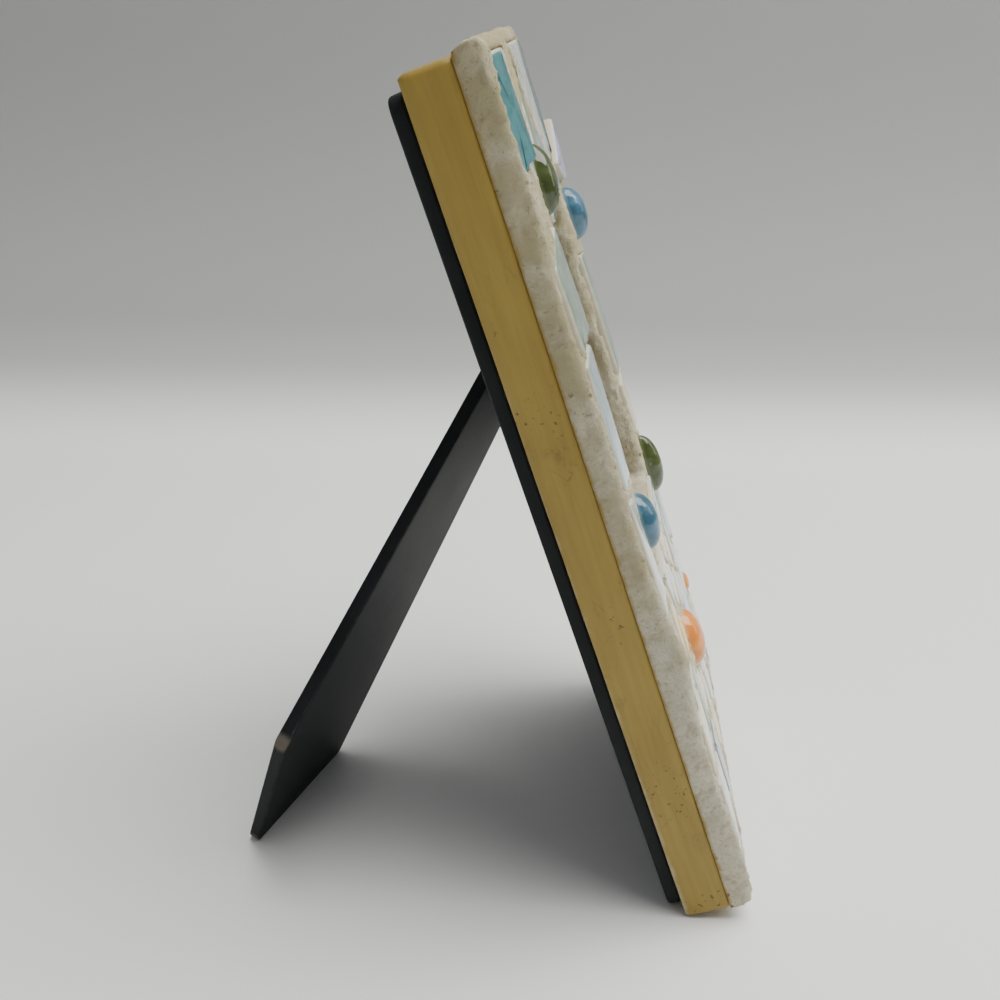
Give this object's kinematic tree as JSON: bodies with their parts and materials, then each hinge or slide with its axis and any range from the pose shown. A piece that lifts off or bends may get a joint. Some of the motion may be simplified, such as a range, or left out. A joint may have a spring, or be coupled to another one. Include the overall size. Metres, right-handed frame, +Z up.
{
  "type": "mosaic picture frame",
  "caption": "Portrait picture frame with a mosaic of glazed shards in pale grout on yellow-painted wood, leaning back on a black easel leg.",
  "frame": {"origin": "middle of the object's outline on the surface it stands on", "axes": "+Z up, the front of the frame faces -Y, +X to the right seen from the front"},
  "size_m": [0.1424, 0.161, 0.2498],
  "materials": {
    "painted_wood": "satin",
    "grout": "matte",
    "glass": "gloss",
    "black_paper": "satin",
    "black_steel": "satin",
    "glaze_white": "gloss",
    "glaze_cream": "gloss",
    "glaze_pale_yellow": "gloss",
    "glaze_mint": "gloss",
    "glaze_pale_blue": "gloss",
    "glaze_lavender": "gloss",
    "glaze_teal": "gloss",
    "glaze_slate": "gloss",
    "glaze_blue": "gloss",
    "glaze_leaf_green": "gloss",
    "glaze_orange": "gloss"
  },
  "bodies": {
    "frame": {"back_board": "black_paper", "bud": "glaze_orange", "flower_centre": "glaze_orange", "flower_petal_1": "glaze_cream", "flower_petal_2": "glaze_white", "flower_petal_3": "glaze_pale_yellow", "flower_petal_4": "glaze_cream", "flower_petal_5": "glaze_white", "flower_petal_6": "glaze_pale_yellow", "glass_pane": "glass", "grout_bed": "grout", "hinge_board_leaf": "black_steel", "leaf_bottom": "glaze_leaf_green", "leaf_top": "glaze_leaf_green", "petal_bottom": "glaze_blue", "petal_top": "glaze_blue", "shard_01_lavender": "glaze_lavender", "shard_02_white": "glaze_white", "shard_03_paleBlue": "glaze_pale_blue", "shard_04_cream": "glaze_cream", "shard_05_mint": "glaze_mint", "shard_06_white": "glaze_white", "shard_07_slate": "glaze_slate", "shard_08_paleYellow": "glaze_pale_yellow", "shard_09_white": "glaze_white", "shard_10_paleBlue": "glaze_pale_blue", "shard_11_cream": "glaze_cream", "shard_12_cream": "glaze_cream", "shard_13_mint": "glaze_mint", "shard_14_lavender": "glaze_lavender", "shard_15_white": "glaze_white", "shard_16_mint": "glaze_mint", "shard_17_paleYellow": "glaze_pale_yellow", "shard_18_cream": "glaze_cream", "shard_19_mint": "glaze_mint", "shard_20_paleBlue": "glaze_pale_blue", "shard_21_white": "glaze_white", "shard_22_paleYellow": "glaze_pale_yellow", "shard_23_paleBlue": "glaze_pale_blue", "shard_24_white": "glaze_white", "shard_25_cream": "glaze_cream", "shard_26_paleBlue": "glaze_pale_blue", "shard_27_mint": "glaze_mint", "shard_28_mint": "glaze_mint", "shard_29_mint": "glaze_mint", "shard_30_paleBlue": "glaze_pale_blue", "shard_31_lavender": "glaze_lavender", "shard_32_teal": "glaze_teal", "shard_33_white": "glaze_white", "shard_34_white": "glaze_white", "shard_35_slate": "glaze_slate", "wood_frame": "painted_wood"},
    "leg": {"easel_leg": "black_paper", "hinge_leg_leaf": "black_steel"}
  },
  "joints": [
    {"name": "leg_hinge", "type": "hinge", "parent": "frame", "child": "leg", "pos_m": [0.00495, -0.00287, 0.15115], "axis": [0.9191, -0.1257, -0.3734], "range_deg": [-45, 0]}
  ]
}
